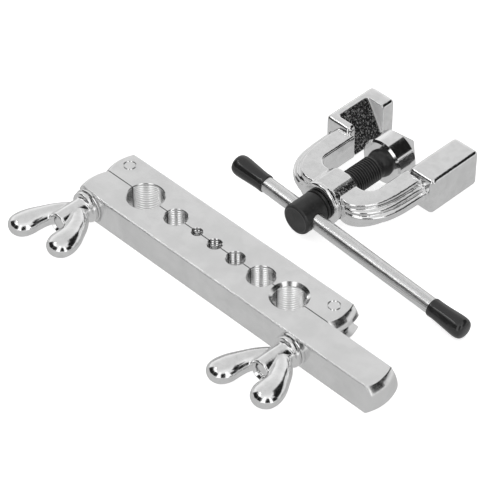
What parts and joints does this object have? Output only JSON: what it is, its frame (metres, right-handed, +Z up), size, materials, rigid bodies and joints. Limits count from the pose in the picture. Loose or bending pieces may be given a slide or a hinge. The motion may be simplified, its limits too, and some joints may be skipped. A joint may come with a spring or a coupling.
{
  "type": "flaring tool",
  "caption": "Flaring tool: split die bar with graded tube holes closed by wing nuts, beside a hook yoke with a forcing screw, flaring cone and sliding handle.",
  "frame": {"origin": "axis of the middle (6 mm) die hole, on the split plane between the bars, at the bench plane under the bars", "axes": "+X along the bars towards the grip end, +Y from the front bar across the rear bar to the yoke and along the forcing screw to the cone's point, +Z up out of the die holes"},
  "size_m": [0.1813, 0.1626, 0.0214],
  "materials": {
    "plated_bar": "satin bright nickel-chrome plating on milled steel",
    "plated_casting": "bright nickel-chrome plating on a casting",
    "plated_turned": "polished bright plating on turned pieces",
    "plated_rod": "satin drawn rod",
    "black_oxide": "black oxide, matt",
    "bright_steel": "ground hardened steel",
    "black_vinyl": "glossy dip-moulded vinyl"
  },
  "bodies": {
    "rear_jaw": {"rear_bar": "plated_bar", "left_pivot_pin": "plated_bar", "right_pivot_pin": "plated_bar", "right_swing_bolt": "plated_turned"},
    "front_jaw": {"front_bar": "plated_bar", "locating_dowel": "bright_steel", "right_washer": "plated_turned"},
    "right_nut": {"right_wing_nut": "plated_casting"},
    "left_bolt": {"left_swing_bolt": "plated_turned"},
    "left_washer": {"left_washer": "plated_turned"},
    "left_nut": {"left_wing_nut": "plated_casting"},
    "yoke": {"yoke": "plated_casting"},
    "cone": {"flaring_cone": "plated_turned", "thrust_ball": "bright_steel", "cone_retaining_ring": "bright_steel"},
    "screw": {"forcing_screw": "black_oxide"},
    "handle": {"handle_bar": "plated_rod", "handle_cap_left": "black_vinyl", "handle_cap_right": "black_vinyl"}
  },
  "joints": [
    {"name": "jaw_open", "type": "slide", "parent": "rear_jaw", "child": "front_jaw", "axis": [0, -1, 0], "range_m": [0, 0.008]},
    {"name": "right_nut_spin", "type": "hinge", "parent": "front_jaw", "child": "right_nut", "pos_m": [0.0587, -0.0163, 0.0075], "axis": [0, -1, 0], "continuous": true},
    {"name": "left_bolt_swing", "type": "hinge", "parent": "rear_jaw", "child": "left_bolt", "pos_m": [-0.0599, 0.0085, 0.0075], "axis": [0, 0, -1], "range_deg": [0, 90]},
    {"name": "left_washer_slide", "type": "slide", "parent": "left_bolt", "child": "left_washer", "axis": [0, -1, 0], "range_m": [0, 0.008]},
    {"name": "left_nut_spin", "type": "hinge", "parent": "left_washer", "child": "left_nut", "pos_m": [-0.0599, -0.0157, 0.0075], "axis": [0, -1, 0], "continuous": true},
    {"name": "yoke_along_bar", "type": "slide", "parent": "rear_jaw", "child": "yoke", "axis": [1, 0, 0], "range_m": [-0.0506, 0.0328]},
    {"name": "screw_feed", "type": "slide", "parent": "yoke", "child": "cone", "axis": [0, 1, 0], "range_m": [-0.0105, 0]},
    {"name": "screw_turn", "type": "hinge", "parent": "cone", "child": "screw", "pos_m": [0.0097, 0.093, 0.01075], "axis": [0, 1, 0], "continuous": true},
    {"name": "handle_slide", "type": "slide", "parent": "screw", "child": "handle", "axis": [0.9975, 0, -0.0706], "range_m": [-0.063, 0.0155]}
  ],
  "couplings": [
    {"joint": "right_nut_spin", "follows": "jaw_open", "rad_per_m": 6283.2},
    {"joint": "left_washer_slide", "follows": "jaw_open", "ratio": 1},
    {"joint": "left_nut_spin", "follows": "jaw_open", "rad_per_m": 6283.2},
    {"joint": "screw_turn", "follows": "screw_feed", "rad_per_m": 4947.4}
  ]
}
